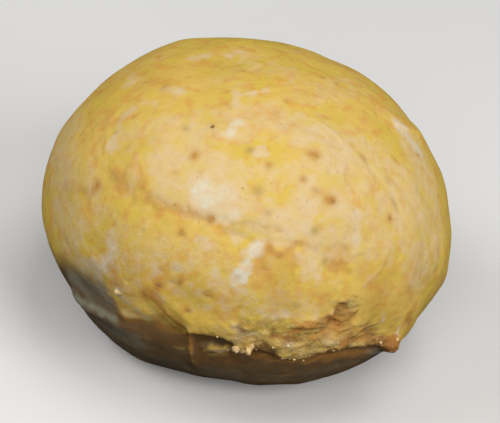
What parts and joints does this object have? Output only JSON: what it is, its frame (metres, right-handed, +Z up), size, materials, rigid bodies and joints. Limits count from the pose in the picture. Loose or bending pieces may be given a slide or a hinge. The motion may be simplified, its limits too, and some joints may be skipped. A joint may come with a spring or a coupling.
{
  "type": "whole wheat bread roll",
  "caption": "Round baked whole wheat roll with a domed speckled crust, a torn folded lower rim at the front and a flat base.",
  "frame": {"origin": "on the table, under the middle of the roll's box", "axes": "+Z up; the torn and folded front faces -Y; +X to the roll's right as seen from the front, its widest way"},
  "size_m": [0.083, 0.0802, 0.0579],
  "materials": {
    "crust": "matte"
  },
  "bodies": {
    "root": {"bread_roll": "crust"}
  },
  "joints": []
}
